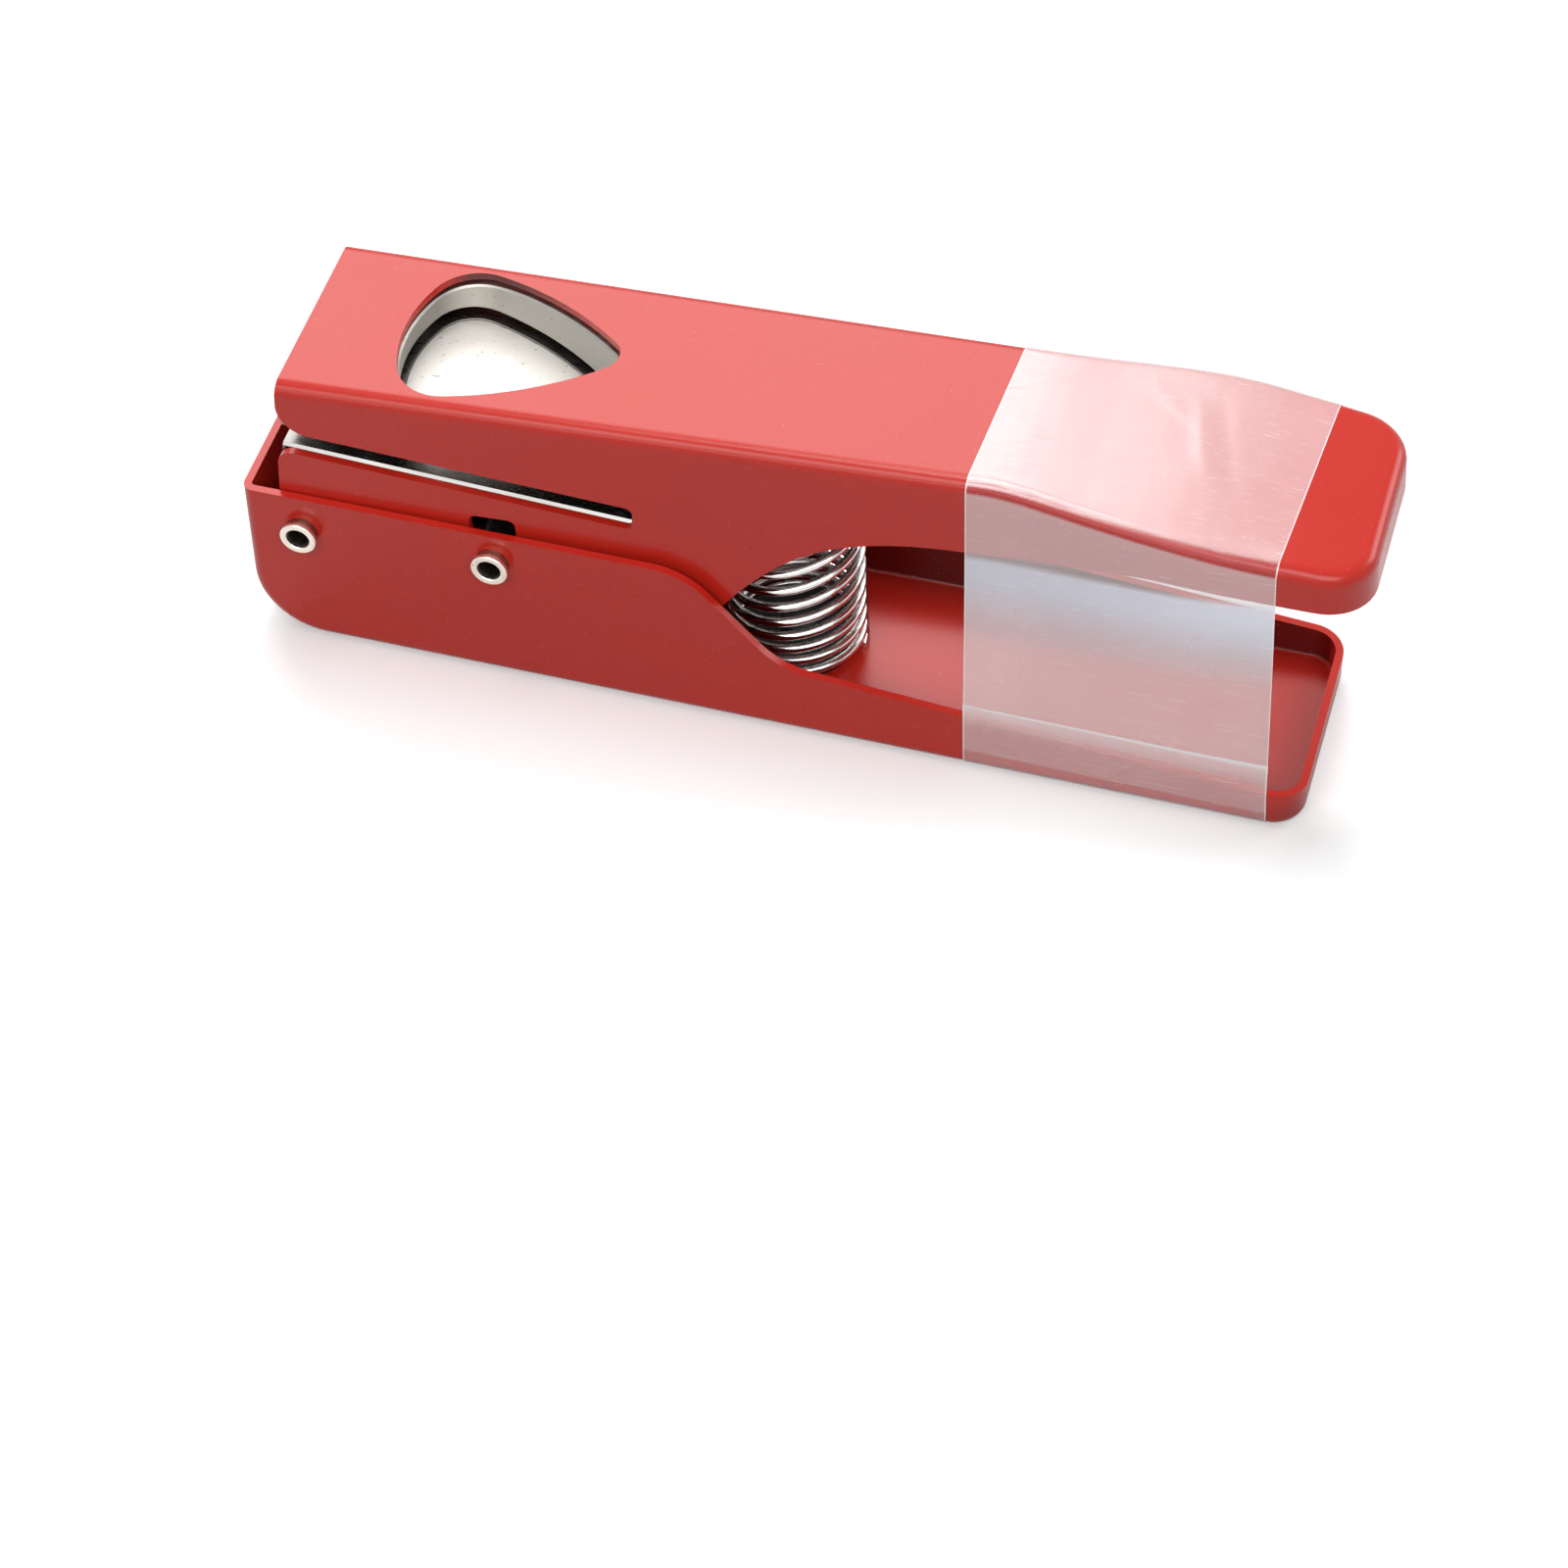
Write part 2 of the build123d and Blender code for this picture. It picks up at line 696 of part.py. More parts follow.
# Return spring, with a seat on the tray and a cap under the handle
boss_radius = spring_radius - spring_wire / 2 - boss_gap
cap_along = side_plane.to_local_coords(Vector(spring_x, 0, tray_floor + pivot_height + handle_top)).X
under_handle = side_plane.from_local_coords((cap_along, top_under, 0)).Z
spring_foot = floor_top + spring_end_gap + spring_wire / 2
spring_head = under_handle - spring_end_gap - spring_wire / 2
spring_rise = spring_head - spring_foot
seat_slope = tan(radians(handle_tilt))


def spring_point(turns):
    """Point on the middle of the wire; closer wound at both ends, and bowed, with leaning coils."""
    share = turns / spring_turns
    height = share - spring_end_share * sin(2 * pi * share) / (2 * pi)
    lean = seat_slope * share + spring_lean_share * sin(pi * share)
    forward = spring_radius * cos(2 * pi * turns)
    return Vector(
        spring_x + forward - spring_bow * sin(pi * share),
        spring_radius * sin(2 * pi * turns),
        spring_foot + spring_rise * height + forward * lean,
    )


def spring_heading(turns):
    """Direction of the wire after a number of whole or half turns."""
    share = turns / spring_turns
    slope = 1 - spring_end_share * cos(2 * pi * share)
    lean_slope = seat_slope + spring_lean_share * pi * cos(pi * share)
    side = cos(2 * pi * turns)
    return Vector(
        -spring_bow * pi * cos(pi * share),
        2 * pi * spring_turns * spring_radius * side,
        spring_rise * slope + spring_radius * side * lean_slope,
    ).normalized()


def biarc(start, start_heading, end, end_heading):
    """Two arcs that leave a point along one heading and reach another point along its own."""
    chord = end - start
    both = start_heading + end_heading
    spread = 2 * (1 - start_heading.dot(end_heading))
    reach = (sqrt(chord.dot(both) ** 2 + spread * chord.dot(chord)) - chord.dot(both)) / spread
    leave = start + start_heading * reach
    arrive = end - end_heading * reach
    middle = (leave + arrive) / 2
    TangentArc(start, middle, tangent=start_heading)
    TangentArc(middle, end, tangent=arrive - leave)


with BuildPart() as return_spring:
    with BuildLine() as wire_path:
        for half in range(2 * spring_turns):
            biarc(
                spring_point(half / 2),
                spring_heading(half / 2),
                spring_point((half + 1) / 2),
                spring_heading((half + 1) / 2),
            )
    with BuildSketch(Plane(origin=spring_point(0), z_dir=spring_heading(0))):
        Circle(spring_wire / 2)
    sweep(path=wire_path.wires()[0])
return_spring.part.label = "return_spring"
export_step(return_spring.part, "parts/return_spring.step")
steps_per_turn = 24
wire_points = [
    wire_path.wires()[0].position_at(step / (steps_per_turn * spring_turns))
    for step in range(steps_per_turn * spring_turns + 1)
]
self_gap = min(
    (one - other).length
    for place, one in enumerate(wire_points)
    for other in wire_points[place + steps_per_turn // 2:]
)
print("spring's least gap to itself, mm:", round(self_gap - spring_wire, 2))

with BuildPart() as spring_seat:
    with Locations((spring_x, 0, floor_top)):
        Cylinder(boss_radius, boss_height, align=seated)
        chamfer(spring_seat.edges().group_by(Axis.Z)[-1], length=boss_chamfer)
        Cylinder(rivet_radius + seat_gap, boss_height, align=seated, mode=Mode.SUBTRACT)
spring_seat.part.label = "spring_seat"
export_step(spring_seat.part, "parts/spring_seat.step")

with BuildPart() as spring_seat_rivet:
    with Locations((spring_x, 0, tray_floor)):
        Cylinder(rivet_radius, sheet + boss_height, align=seated)
    with Locations((spring_x, 0, floor_top + boss_height)):
        Cylinder(rivet_head_radius, rivet_head_height, align=seated)
    fillet(spring_seat_rivet.edges().group_by(Axis.Z)[-1], radius=rivet_head_height / 2)
spring_seat_rivet.part.label = "spring_seat_rivet"
export_step(spring_seat_rivet.part, "parts/spring_seat_rivet.step")

with BuildPart() as spring_cap:
    with BuildSketch(top_plane.offset(-sheet - seat_gap)):
        with Locations((cap_along, 0)):
            Circle(boss_radius)
    extrude(amount=-boss_height)
    chamfer(spring_cap.edges().sort_by(handle_up)[0], length=boss_chamfer)
spring_cap.part.label = "spring_cap"
export_step(spring_cap.part, "parts/spring_cap.step")


# Film band round the handle's nose and the tray, with its glued end
def film_form(stand_off):
    """Solid form of the film's course, standing off from the handle and the tray."""
    foot_half = tray_width / 2 + stand_off
    foot = film + film_gap - stand_off
    wall_fall = (step_foot_height - lip_height) / (tray_length - step_foot_x)
    with BuildPart() as form:
        for along, half, height in nose_stations:
            top_at = side_plane.from_local_coords((along, height, 0))
            wall_top = tray_floor + lip_height + wall_fall * (rear + tray_length - top_at.X)
            with BuildSketch(Plane.YZ.offset(top_at.X)) as section:
                with BuildLine():
                    Polyline(
                        (-foot_half, foot),
                        (foot_half, foot),
                        (foot_half, wall_top),
                        (half + stand_off, top_at.Z + stand_off),
                        (-half - stand_off, top_at.Z + stand_off),
                        (-foot_half, wall_top),
                        close=True,
                    )
                make_face()
                levels = section.vertices().group_by(Axis.Y)
                fillet(levels[0], radius=film_bend_radius + stand_off)
                fillet(levels[-1], radius=handle_edge_radius + stand_off)
        loft(ruled=True)
    return form.part


with BuildPart() as film_band:
    add(film_form(film_gap + film))
    add(film_form(film_gap), mode=Mode.SUBTRACT)
film_band.part.label = "film_band"
export_step(film_band.part, "parts/film_band.step")

tail_inner = film_gap + film + film_tail_gap
with BuildPart() as film_tail:
    add(film_form(tail_inner + film))
    add(film_form(tail_inner), mode=Mode.SUBTRACT)
    with Locations((0, -tray_width, film_bend_radius + tail_inner + film)):
        Box(
            2 * handle_front,
            2 * tray_width,
            film_tail_height - film_bend_radius - tail_inner - film,
            align=seated,
            mode=Mode.INTERSECT,
        )
film_tail.part.label = "film_tail"
export_step(film_tail.part, "parts/film_tail.step")
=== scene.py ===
"""Guitar pick punch: finishes, film, spring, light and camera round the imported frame."""
import bpy
import json
from math import acos, atan2, cos, exp, hypot, pi, radians, sin, tan
from mathutils import Matrix, Vector
from mathutils.bvhtree import BVHTree


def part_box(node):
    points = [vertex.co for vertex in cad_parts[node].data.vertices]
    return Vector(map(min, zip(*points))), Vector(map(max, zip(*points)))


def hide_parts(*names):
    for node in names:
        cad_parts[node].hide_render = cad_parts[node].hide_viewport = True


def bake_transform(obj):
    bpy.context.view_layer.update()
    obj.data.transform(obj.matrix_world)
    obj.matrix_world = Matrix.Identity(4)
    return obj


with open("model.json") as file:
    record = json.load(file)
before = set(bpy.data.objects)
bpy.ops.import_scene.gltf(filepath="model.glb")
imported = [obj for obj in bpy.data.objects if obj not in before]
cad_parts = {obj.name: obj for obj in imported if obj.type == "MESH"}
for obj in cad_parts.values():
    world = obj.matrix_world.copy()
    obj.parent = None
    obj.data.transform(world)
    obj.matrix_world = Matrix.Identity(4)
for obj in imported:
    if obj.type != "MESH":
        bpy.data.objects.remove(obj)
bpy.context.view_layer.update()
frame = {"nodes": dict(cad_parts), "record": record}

MM = 0.001

# Camera, fitted to the photograph, with its angles in degrees
LENS_PIXELS = 4600
IMAGE_PIXELS = 1600
SENSOR = 36
CAMERA_AZIMUTH = 16.65
CAMERA_ELEVATION = 48.55
CAMERA_ROLL = 1.02
CAMERA_DISTANCE = 670.8 * MM
CAMERA_TARGET = Vector((2.5, -28.6, 0.25)) * MM
CAMERA_CLIP = 10 * MM

# Soft boxes: direction from the tool, distance, width and height, and radiance
BOXES = {
    "back_box": ((-0.34, 0.62, 0.72), 1.0, (0.62, 0.6), 3.6),
    "top_box": ((-0.18, 0.05, 1.0), 1.0, (0.6, 0.2), 6.0),
    "right_box": ((0.68, 0.6, 0.38), 1.0, (0.5, 0.42), 3.2),
    "front_strip": ((-0.19, -0.93, 0.31), 1.2, (0.8, 0.13), 3.4),
    "high_front_box": ((0.12, -0.66, 0.72), 1.2, (1.6, 0.5), 3.6),
}
GLOSS_ONLY_BOX = "front_strip"
WORLD_LIGHT = 0.18
WORLD_IN_GLOSS = 0.8

# Floor, and the bands over which its glow comes back round the tool, out of a painted shadow along the
# tool's near side
FLOOR_HALF = 2.0
FLOOR_GLOW = 0.14
FLOOR_GLOW_PAST_SHADOW = 0.2
SHADOW_FADE_BEFORE = (19 * MM, 42 * MM)
SHADOW_FADE_UNDER = (10 * MM, 17 * MM)
SHADOW_FADE_ENDS = (84 * MM, 92 * MM)

# Sheet metal that the film runs over, and the starts of the rays that measure it
SHEET = 1.2 * MM
HANDLE_EDGE_RADIUS = 2.2 * MM
PROBE_HEIGHT = 100 * MM
PROBE_SIDE = 50 * MM
WALL_PROBE_DEPTH = 6 * MM
TRAY_PROBE_HEIGHT = 5 * MM
RIM_PROBE_HEIGHT = 25 * MM

# Film band: a strip of thin film, wound once round and lapped over itself on the near side
FILM_STAND_OFF = 0.14 * MM
FILM_LAP_STEP = 0.1 * MM
FILM_FOOT = 0.15 * MM
FILM_FOOT_RADIUS = 2.0 * MM
FILM_LAP_END = 2.6 * MM

# Points along and round the film
FILM_STATIONS = 92
FOOT_TURNS = range(-90, 1, 10)
RIM_STEPS = 5
FREE_STEPS = 24
BEND_STEPS = 10
HALF_ROOF_STEPS = 20

# How far the free film is drawn in at the strip's two edges, and its share of that in the middle
FILM_SAG = 0.3 * MM
SAG_IN_MIDDLE = 0.4
SAG_SHARPNESS = 6

# How far along the strip runs from square, at the foot and at the top of its far and near side
FILM_SKEW_FAR = (-0.3 * MM, 0.85 * MM)
FILM_SKEW_NEAR = (0.65 * MM, -1.25 * MM)
FILM_SKEW_MOST = 1.6 * MM
SKEW_AT_REAR = 0.85
SKEW_GROWTH = 0.3

# Folds in the film's top, in millimetres: far end, near end and height
FOLDS = [
    ((54.2, 9.4), (57.9, -3.9), 0.12),
    ((57.7, 9.4), (62.0, -6.0), -0.1),
    ((47.0, 12.5), (53.0, 6.0), 0.05),
]
FOLD_WIDTH = 1.5
FOLD_REACH = 0.55

# Places where a finish, a painted light or a painted shade changes, each as the start and the end of the
# change
# The next four place the painted shade of the red coat: on walls that face inwards, and in the tray's far
# and front corners by its floor
INNER_WALL_SHADE = (-12 * MM, -6 * MM)
FAR_CORNER_SHADE = (6 * MM, 17 * MM)
FRONT_CORNER_SHADE = (66 * MM, 79 * MM)
CORNER_SHADE_TOP = (3 * MM, 6 * MM)
PIN_NECK = (18.6 * MM, 19.3 * MM)
FILM_SIDE = (13 * MM, 15 * MM)
FILM_OFF_HANDLE = (-0.4 * MM, 0.8 * MM)
FILM_OVER_HOLLOW = (-0.2 * MM, 0.8 * MM)
FILM_PAINTED_GLOW_FADES = (4 * MM, 17 * MM)
FILM_ON_TRAY = (9 * MM, 14 * MM)
FILM_FAR_WALL = (44 * MM, 48 * MM)
FILM_BEND_SIDE = (12.5 * MM, 13.5 * MM)
FILM_BEND_ABOVE = (20 * MM, 25 * MM)

# Grades of steel: darker and lighter colour, roughness, grain, stretch of its lines, and tarnish
GRADES = {
    "die_steel": ((0.5, 0.49, 0.465), (0.66, 0.645, 0.615), 0.42, 500.0, (1, 5, 1), 0.0),
    "plain_steel": ((0.4, 0.4, 0.4), (0.55, 0.55, 0.55), 0.35, 700.0, (1, 1, 6), 0.0),
    "screw_steel": ((0.45, 0.45, 0.46), (0.6, 0.6, 0.61), 0.3, 900.0, (1, 1, 1), 0.0),
    "pin_nickel": ((0.8, 0.74, 0.64), (0.94, 0.9, 0.82), 0.3, 900.0, (1, 4, 1), 0.9),
    # Black steel; on the spring seat's rivet its black is painted shade behind the spring
    "blackened_steel_and_painted_shade": ((0.03, 0.03, 0.03), (0.06, 0.06, 0.06), 0.4, 900.0, (1, 1, 1), 0.0),
    # Guide plate: its near-black colour is painted shade of the dark cavity under the die and in the slot
    "ground_plate_painted_shade": ((0.06, 0.058, 0.054), (0.4, 0.39, 0.375), 0.26, 900.0, (1, 5, 1), 0.0),
    # Die plate: darker partly for dirt on its ledge and partly as painted shade at the foot of the bore
    "die_dirt_and_painted_shade": ((0.19, 0.183, 0.17), (0.3, 0.29, 0.27), 0.3, 500.0, (1, 5, 1), 0.0),
    "blasted_punch": ((0.8, 0.785, 0.74), (0.9, 0.885, 0.84), 0.62, 900.0, (1, 1, 1), 0.0),
    # Chute block: a darker copy of the die steel, painted shade on its bore's walls
    "bored_block_painted_shade": ((0.36, 0.35, 0.325), (0.52, 0.505, 0.475), 0.42, 500.0, (1, 5, 1), 0.0),
}

# Nodes that have a grade of their own, in place of their slot's finish
OWN_GRADES = {
    # The guide plate's dark grade is painted shade
    "guide_plate": "ground_plate_painted_shade",
    # The die plate's grade is partly dirt and partly painted shade
    "die_plate": "die_dirt_and_painted_shade",
    "punch_head": "blasted_punch",
    # The chute block's darker grade is painted shade in the bore
    "chute_block": "bored_block_painted_shade",
    # The rivet's black is painted shade behind the spring
    "spring_seat_rivet": "blackened_steel_and_painted_shade",
    "drive_pin_spacers": "blackened_steel_and_painted_shade",
    "punch_carrier": "blackened_steel_and_painted_shade",
}

# Return spring, and the handle's tilt over it in degrees
SPRING_TURNS = 17
SPRING_RADIUS = 10.05 * MM
SPRING_WIRE = 1.5 * MM
SPRING_END_SHARE = 0.22
SPRING_LEAN_SHARE = 0.22
SPRING_BOW = 0.7 * MM
HANDLE_TILT = 3.23
SPRING_STEPS = 40
SPRING_SIDES = 14

# Sockets of a Mix node set to colours, which share their names with its other types
MIX_AMOUNT = 0
MIX_FIRST = 6
MIX_SECOND = 7
MIX_RESULT = 2


class Value:
    """A shader value; arithmetic on it adds Math nodes."""

    def __init__(self, tree, socket):
        self.tree = tree
        self.socket = socket

    def maths(self, operation, other=0.0, swapped=False):
        """The result of a Math node on this value and another."""
        pair = (other, self) if swapped else (self, other)
        return self.tree.add("ShaderNodeMath", {"operation": operation}, {0: pair[0], 1: pair[1]})

    def __add__(self, other):
        return self.maths("ADD", other)

    def __sub__(self, other):
        return self.maths("SUBTRACT", other)

    def __mul__(self, other):
        return self.maths("MULTIPLY", other)

    def __truediv__(self, other):
        return self.maths("DIVIDE", other)

    def __neg__(self):
        return self.maths("MULTIPLY", -1.0)

    def __rsub__(self, other):
        return self.maths("SUBTRACT", other, swapped=True)

    __radd__ = __add__

    def most(self, other):
        return self.maths("MAXIMUM", other)

    def size(self):
        return self.maths("ABSOLUTE")

    def ramp(self, low, high, start=0.0, end=1.0):
        """Carries low..high over to start..end, and holds beyond."""
        sockets = {"Value": self, "From Min": low, "From Max": high, "To Min": start, "To Max": end}
        return self.tree.add("ShaderNodeMapRange", {"clamp": True}, sockets)

    def fall(self, low, high):
        """Falls from 1 to 0 over low..high."""
        return self.ramp(low, high, 1.0, 0.0)


class Tree:
    """A node tree that is filled by calls."""

    def __init__(self, nodes):
        self.nodes = nodes
        self.nodes.nodes.clear()

    def add(self, kind, settings=None, sockets=None, output=0):
        """Adds a node of a type with its settings, then the values or links of its sockets."""
        node = self.nodes.nodes.new(kind)
        for name, value in (settings or {}).items():
            setattr(node, name, value)
        for name, value in (sockets or {}).items():
            if isinstance(value, Value):
                self.nodes.links.new(value.socket, node.inputs[name])
            else:
                node.inputs[name].default_value = value
        return Value(self, node.outputs[output]) if node.outputs else node

    def mix(self, amount, first, second):
        """Colour between two colours."""
        sockets = {MIX_AMOUNT: amount, MIX_FIRST: first, MIX_SECOND: second}
        return self.add("ShaderNodeMix", {"data_type": "RGBA"}, sockets, MIX_RESULT)

    def split(self, vector):
        """The three parts of a vector."""
        node = self.add("ShaderNodeSeparateXYZ", {}, {0: vector}).socket.node
        return [Value(self, socket) for socket in node.outputs]

    def axes(self):
        """Object coordinates: along, across and up."""
        return self.split(self.add("ShaderNodeTexCoord", output="Object"))

    def facing(self):
        """The surface's normal: along, across and up."""
        return self.split(self.add("ShaderNodeNewGeometry", output="Normal"))

    def strip(self):
        """The piece's own UV map: across the strip and along it."""
        return self.split(self.add("ShaderNodeTexCoord", output="UV"))[:2]

    def noise(self, scale, detail=2.0, stretch=(1, 1, 1)):
        """Noise on Object coordinates, packed closer along the axes that are stretched."""
        where = self.add("ShaderNodeTexCoord", output="Object")
        where = self.add("ShaderNodeMapping", {}, {"Vector": where, "Scale": stretch})
        return self.add("ShaderNodeTexNoise", {}, {"Vector": where, "Scale": scale, "Detail": detail})

    def bump(self, height, distance, strength):
        """A normal that follows a height."""
        sockets = {"Height": height, "Distance": distance, "Strength": strength}
        return self.add("ShaderNodeBump", {}, sockets)

    def ray(self, kind):
        """1 where the ray is of a kind."""
        return Value(self, self.add("ShaderNodeLightPath").socket.node.outputs[kind])

    def mirrored(self):
        """1 where the ray comes by way of a gloss or through a clear piece."""
        return self.ray("Is Glossy Ray").most(self.ray("Is Transmission Ray"))

    def surface(self, shader):
        """Ends a material's tree in a shader."""
        self.add("ShaderNodeOutputMaterial", {}, {"Surface": shader})

    def skin(self, sockets):
        """Ends a material's tree in a Principled shader."""
        self.surface(self.add("ShaderNodeBsdfPrincipled", {}, sockets))


def colour(red, green, blue):
    """A colour for a socket."""
    return (red, green, blue, 1.0)


def grey(level):
    """An even grey for a socket."""
    return colour(level, level, level)


WHITE = grey(1)


def finish_tree(name):
    """A new material and the tree to fill."""
    material = bpy.data.materials.new(name)
    material.use_nodes = True
    return material, Tree(material.node_tree)


def new_object(name, data):
    """An object of the scene, at the origin."""
    piece = bpy.data.objects.new(name, data)
    bpy.context.scene.collection.objects.link(piece)
    return piece


def mesh_object(name, points, faces, material):
    """A smooth mesh at the origin, from points and faces."""
    mesh = bpy.data.meshes.new(name)
    mesh.from_pydata(points, [], faces)
    mesh.materials.append(material)
    for polygon in mesh.polygons:
        polygon.use_smooth = True
    return new_object(name, mesh)


def between(first, second, share):
    """The value at a share of the way from one to another."""
    return first + (second - first) * share


def skin_of(node):
    """The surface of a CAD node, to be probed by rays."""
    piece = frame["nodes"][node]
    points = [piece.matrix_world @ vertex.co for vertex in piece.data.vertices]
    return BVHTree.FromPolygons(points, [tuple(face.vertices) for face in piece.data.polygons])


SHELL_SKIN = skin_of("handle_shell")
TRAY_SKIN = skin_of("base_tray")
FILM_LOW, FILM_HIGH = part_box("film_band")
LAP_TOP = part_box("film_tail")[1].z


def probe(skin, start, heading):
    """The first point of a surface that a ray meets."""
    return skin.ray_cast(Vector(start), Vector(heading))[0]


def nose_section(x):
    """Half width and height of the handle, and half width and rim height of the tray, at a place along."""
    top = probe(SHELL_SKIN, (x, 0, PROBE_HEIGHT), (0, 0, -1)).z
    half = -probe(SHELL_SKIN, (x, -PROBE_SIDE, top - WALL_PROBE_DEPTH), (0, 1, 0)).y
    wall = -probe(TRAY_SKIN, (x, -PROBE_SIDE, TRAY_PROBE_HEIGHT), (0, 1, 0)).y
    rim = probe(TRAY_SKIN, (x, SHEET / 2 - wall, RIM_PROBE_HEIGHT), (0, 0, -1)).z
    return half, top, wall, rim


def handle_edge_height(along):
    """Height of the handle's lower edge at a place along, as a straight line over the film's width."""
    ends = []
    for x in (FILM_LOW.x, FILM_HIGH.x):
        half = nose_section(x)[0]
        ends.append(probe(SHELL_SKIN, (x, SHEET / 2 - half, TRAY_PROBE_HEIGHT), (0, 0, 1)).z)
    slope = (ends[1] - ends[0]) / (FILM_HIGH.x - FILM_LOW.x)
    return (along - FILM_LOW.x) * slope + ends[0]


def red_paint():
    """Satin red powder coat with a faint orange peel and a little dust, and painted shade: darker on walls
    that face inwards and in the tray's far and front corners by its floor.
    """
    material, tree = finish_tree("red_paint")
    along, across, up = tree.axes()
    cloud = tree.noise(30.0, 3.0)
    dust = tree.noise(2600.0, 1.0).ramp(0.735, 0.76)
    # Painted shade: the coat goes dark on walls that face inwards, and half as dark in the tray's far and
    # front corners by its floor
    inside = (across * tree.facing()[1]).fall(*INNER_WALL_SHADE)
    corner = across.ramp(*FAR_CORNER_SHADE).most(along.ramp(*FRONT_CORNER_SHADE)) * up.fall(*CORNER_SHADE_TOP)
    coat = tree.mix(cloud, colour(0.59, 0.02, 0.0095), colour(0.67, 0.026, 0.0135))
    shaded = tree.mix(inside.most(corner * 0.5), coat, colour(0.13, 0.004, 0.003))
    tree.skin({
        "Base Color": tree.mix(dust * 0.2, shaded, colour(0.8, 0.35, 0.3)),
        "Roughness": cloud.ramp(0.1, 0.9, 0.2, 0.31),
        "IOR": 1.46,
        "Normal": tree.bump(tree.noise(900.0), 0.02 * MM, 0.3),
    })
    return material


def steel(name, dark, light, roughness, grain, lines, tarnish):
    """Ground steel with fine lines and small marks, tarnished inwards of the pins' rims."""
    material, tree = finish_tree(name)
    streaks = tree.noise(grain, 3.0, lines)
    cloud = tree.noise(70.0)
    marks = tree.noise(1500.0, 1.0).ramp(0.7, 0.74)
    ground = tree.mix(streaks * 0.6 + cloud * 0.4, colour(*dark), colour(*light))
    neck = tree.axes()[1].size().fall(*PIN_NECK) * (streaks.ramp(0.3, 0.6) * 0.5 + 0.5)
    worn = tree.mix(neck * tarnish, ground, colour(0.2, 0.11, 0.06))
    tree.skin({
        "Base Color": tree.mix(marks * 0.5, worn, colour(0.2, 0.19, 0.18)),
        "Metallic": 1.0,
        "Roughness": streaks.ramp(0.3, 0.7, roughness - 0.06, roughness + 0.08),
        "Normal": tree.bump(streaks, 0.01 * MM, 0.4),
    })
    return material


def spring_chrome():
    """Bright drawn wire."""
    material, tree = finish_tree("spring_chrome")
    drawing = tree.noise(600.0)
    tree.skin({
        "Base Color": tree.mix(drawing, colour(0.78, 0.77, 0.75), colour(0.9, 0.89, 0.87)),
        "Metallic": 1.0,
        "Roughness": drawing.ramp(0.3, 0.7, 0.1, 0.18),
    })
    return material


def seat_plastic():
    """Black moulded plastic."""
    material, tree = finish_tree("seat_plastic")
    grain = tree.noise(1800.0)
    tree.skin({
        "Base Color": tree.mix(grain, colour(0.012, 0.012, 0.013), colour(0.02, 0.02, 0.022)),
        "Roughness": grain.ramp(0.3, 0.7, 0.5, 0.62),
        "Normal": tree.bump(grain, 0.02 * MM, 0.3),
    })
    return material


